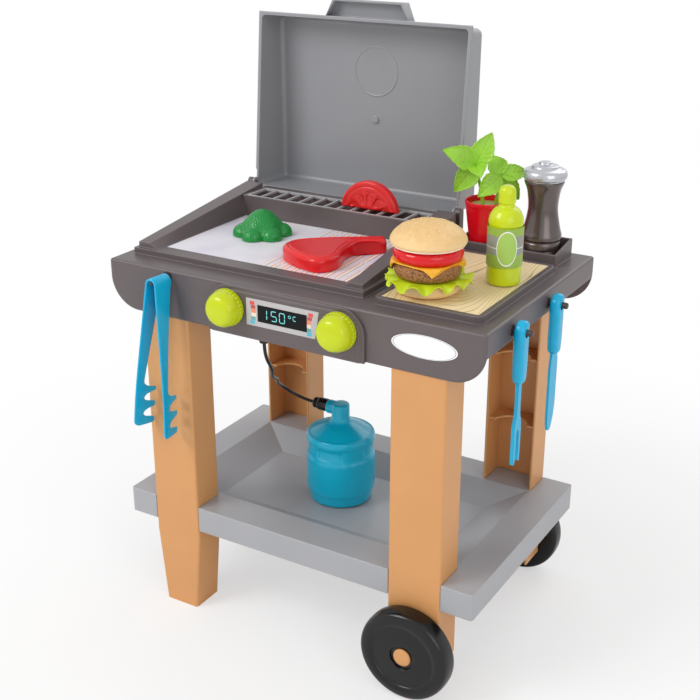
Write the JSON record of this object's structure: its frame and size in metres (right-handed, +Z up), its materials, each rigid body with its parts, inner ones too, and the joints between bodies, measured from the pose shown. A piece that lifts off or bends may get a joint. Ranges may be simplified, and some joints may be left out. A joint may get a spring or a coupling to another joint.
{
  "type": "toy barbecue trolley",
  "caption": "Play barbecue on a wheeled trolley: opening lid, turning knobs, shelf with gas bottle, spice bin, cutting board, tools and pretend food.",
  "frame": {"origin": "bottom centre of the box round everything but the hose and its connector, on the floor under the trolley", "axes": "+X to the right along the worktop, towards the wheels; +Y to the rear, towards the lid's hinge; +Z up"},
  "size_m": [0.502, 0.362, 0.7176],
  "materials": {
    "worktop_plastic": "warm taupe grey, satin",
    "panel_plastic": "warm taupe grey, satin",
    "lid_plastic": "mid grey with a metallic sheen, satin",
    "shelf_plastic": "light grey, satin",
    "leg_plastic": "light tan, satin",
    "lime_plastic": "lime, glossy",
    "cyan_plastic": "cyan blue, satin to glossy",
    "bottle_plastic": "blue, satin to glossy",
    "black_plastic": "black, glossy",
    "pin_plastic": "light tan, satin",
    "socket_plastic": "dark grey, satin",
    "hose_vinyl": "dark brown, satin",
    "plate_card": "pale print with coloured scale bars",
    "screen_film": "dark film with pale blue digits",
    "badge_film": "blank white film",
    "grill_card": "printed card with grate bars and warm streaks",
    "ember_card": "printed card of glowing coals",
    "grate_plastic": "grey, satin",
    "board_card": "printed pale wood grain",
    "sauce_plastic": "lime, glossy",
    "label_paper": "muted green label with a plain oval",
    "mill_plastic": "dark metallic taupe, glossy",
    "cap_plastic": "silver grey, glossy",
    "pot_plastic": "red, glossy",
    "soil_plastic": "pale green, satin",
    "leaf_plastic": "fresh green, satin",
    "lettuce_plastic": "yellow green, satin",
    "bun_plastic": "baked bun colour with pale seeds",
    "patty_plastic": "brown, grainy",
    "cheese_plastic": "yellow, satin",
    "tomato_plastic": "red, glossy",
    "meat_plastic": "red, glossy",
    "vegetable_plastic": "green, glossy"
  },
  "bodies": {
    "trolley": {"worktop": "worktop_plastic", "control_panel": "panel_plastic", "display_plate": "plate_card", "display_screen": "screen_film", "front_badge": "badge_film", "grill_print": "grill_card", "ember_print": "ember_card", "grill_grate": "grate_plastic", "front_left_leg": "leg_plastic", "rear_left_leg": "leg_plastic", "front_right_leg": "leg_plastic", "rear_right_leg": "leg_plastic", "shelf": "shelf_plastic", "front_wheel_pin": "pin_plastic", "rear_wheel_pin": "pin_plastic", "hose_socket": "socket_plastic", "hose": "hose_vinyl", "hose_connector": "black_plastic", "gas_bottle": "bottle_plastic", "gas_valve": "bottle_plastic", "utensil_pegs": "worktop_plastic", "board_print": "board_card"},
    "lid": {"lid": "lid_plastic"},
    "knob_left": {"knob_left": "lime_plastic"},
    "knob_right": {"knob_right": "lime_plastic"},
    "front_wheel": {"front_wheel": "black_plastic"},
    "rear_wheel": {"rear_wheel": "black_plastic"},
    "tongs_left": {"tongs_left_fold": "cyan_plastic", "tongs_left_arm": "cyan_plastic"},
    "tongs_right": {"tongs_right_fold": "cyan_plastic", "tongs_right_arm": "cyan_plastic"},
    "fork": {"fork": "cyan_plastic"},
    "knife": {"knife": "cyan_plastic"},
    "sauce_bottle": {"sauce_bottle": "sauce_plastic", "sauce_label": "label_paper"},
    "pepper_mill": {"pepper_mill_body": "mill_plastic"},
    "pepper_cap": {"pepper_mill_cap": "cap_plastic"},
    "plant": {"plant_pot": "pot_plastic", "plant_soil": "soil_plastic", "basil_large": "leaf_plastic", "basil_small": "leaf_plastic"},
    "bottom_bun": {"burger_bottom_bun": "bun_plastic"},
    "lettuce": {"burger_lettuce": "lettuce_plastic"},
    "patty": {"burger_patty": "patty_plastic"},
    "cheese": {"burger_cheese": "cheese_plastic"},
    "burger_slice": {"burger_tomato": "tomato_plastic"},
    "top_bun": {"burger_top_bun": "bun_plastic"},
    "green_vegetable": {"green_vegetable": "vegetable_plastic"},
    "meat": {"meat": "meat_plastic"},
    "tomato_slice": {"tomato_slice": "tomato_plastic"}
  },
  "joints": [
    {"name": "lid_hinge", "type": "hinge", "parent": "trolley", "child": "lid", "pos_m": [-0.084, 0.11575, 0.48193], "axis": [1, 0, 0], "range_deg": [0, 101.6]},
    {"name": "knob_left_turn", "type": "hinge", "parent": "trolley", "child": "knob_left", "pos_m": [-0.07875, -0.16226, 0.42], "axis": [0, 1, 0], "continuous": true},
    {"name": "knob_right_turn", "type": "hinge", "parent": "trolley", "child": "knob_right", "pos_m": [0.06375, -0.16226, 0.42], "axis": [0, 1, 0], "continuous": true},
    {"name": "front_wheel_spin", "type": "hinge", "parent": "trolley", "child": "front_wheel", "pos_m": [0.1535, -0.16126, 0.055], "axis": [0, 1, 0], "continuous": true},
    {"name": "rear_wheel_spin", "type": "hinge", "parent": "trolley", "child": "rear_wheel", "pos_m": [0.1535, 0.15674, 0.055], "axis": [0, 1, 0], "continuous": true},
    {"name": "tongs_lift_off", "type": "slide", "parent": "trolley", "child": "tongs_left", "axis": [0, -1, 0], "range_m": [0, 0.03]},
    {"name": "tongs_squeeze", "type": "hinge", "parent": "tongs_left", "child": "tongs_right", "pos_m": [-0.16528, -0.167, 0.44088], "axis": [0.0872, 0.9962, 0], "range_deg": [0, 10], "stiffness_Nm_per_rad": 0.05, "springref_deg": -11.46},
    {"name": "fork_lift_off", "type": "slide", "parent": "trolley", "child": "fork", "axis": [1, 0, 0], "range_m": [0, 0.03]},
    {"name": "knife_lift_off", "type": "slide", "parent": "trolley", "child": "knife", "axis": [1, 0, 0], "range_m": [0, 0.03]},
    {"name": "sauce_bottle_lift_off", "type": "slide", "parent": "trolley", "child": "sauce_bottle", "axis": [0, 0, 1], "range_m": [0, 0.03]},
    {"name": "pepper_mill_lift_off", "type": "slide", "parent": "trolley", "child": "pepper_mill", "axis": [0, 0, 1], "range_m": [0, 0.03]},
    {"name": "pepper_cap_turn", "type": "hinge", "parent": "pepper_mill", "child": "pepper_cap", "pos_m": [0.1772, 0.10575, 0.545], "axis": [0, 0, 1], "continuous": true},
    {"name": "plant_lift_off", "type": "slide", "parent": "trolley", "child": "plant", "axis": [0, 0, 1], "range_m": [0, 0.03]},
    {"name": "bottom_bun_lift_off", "type": "slide", "parent": "trolley", "child": "bottom_bun", "axis": [0, 0, 1], "range_m": [0, 0.02]},
    {"name": "lettuce_lift_off", "type": "slide", "parent": "bottom_bun", "child": "lettuce", "axis": [0, 0, 1], "range_m": [0, 0.02]},
    {"name": "patty_lift_off", "type": "slide", "parent": "lettuce", "child": "patty", "axis": [0, 0, 1], "range_m": [0, 0.02]},
    {"name": "cheese_lift_off", "type": "slide", "parent": "patty", "child": "cheese", "axis": [0, 0, 1], "range_m": [0, 0.02]},
    {"name": "burger_slice_lift_off", "type": "slide", "parent": "cheese", "child": "burger_slice", "axis": [0, 0, 1], "range_m": [0, 0.02]},
    {"name": "top_bun_lift_off", "type": "slide", "parent": "burger_slice", "child": "top_bun", "axis": [0, 0, 1], "range_m": [0, 0.02]},
    {"name": "green_vegetable_lift_off", "type": "slide", "parent": "trolley", "child": "green_vegetable", "axis": [0, 0, 1], "range_m": [0, 0.015]},
    {"name": "meat_lift_off", "type": "slide", "parent": "trolley", "child": "meat", "axis": [0, 0, 1], "range_m": [0, 0.015]},
    {"name": "tomato_slice_lift_off", "type": "slide", "parent": "trolley", "child": "tomato_slice", "axis": [0, 0, 1], "range_m": [0, 0.015]}
  ]
}
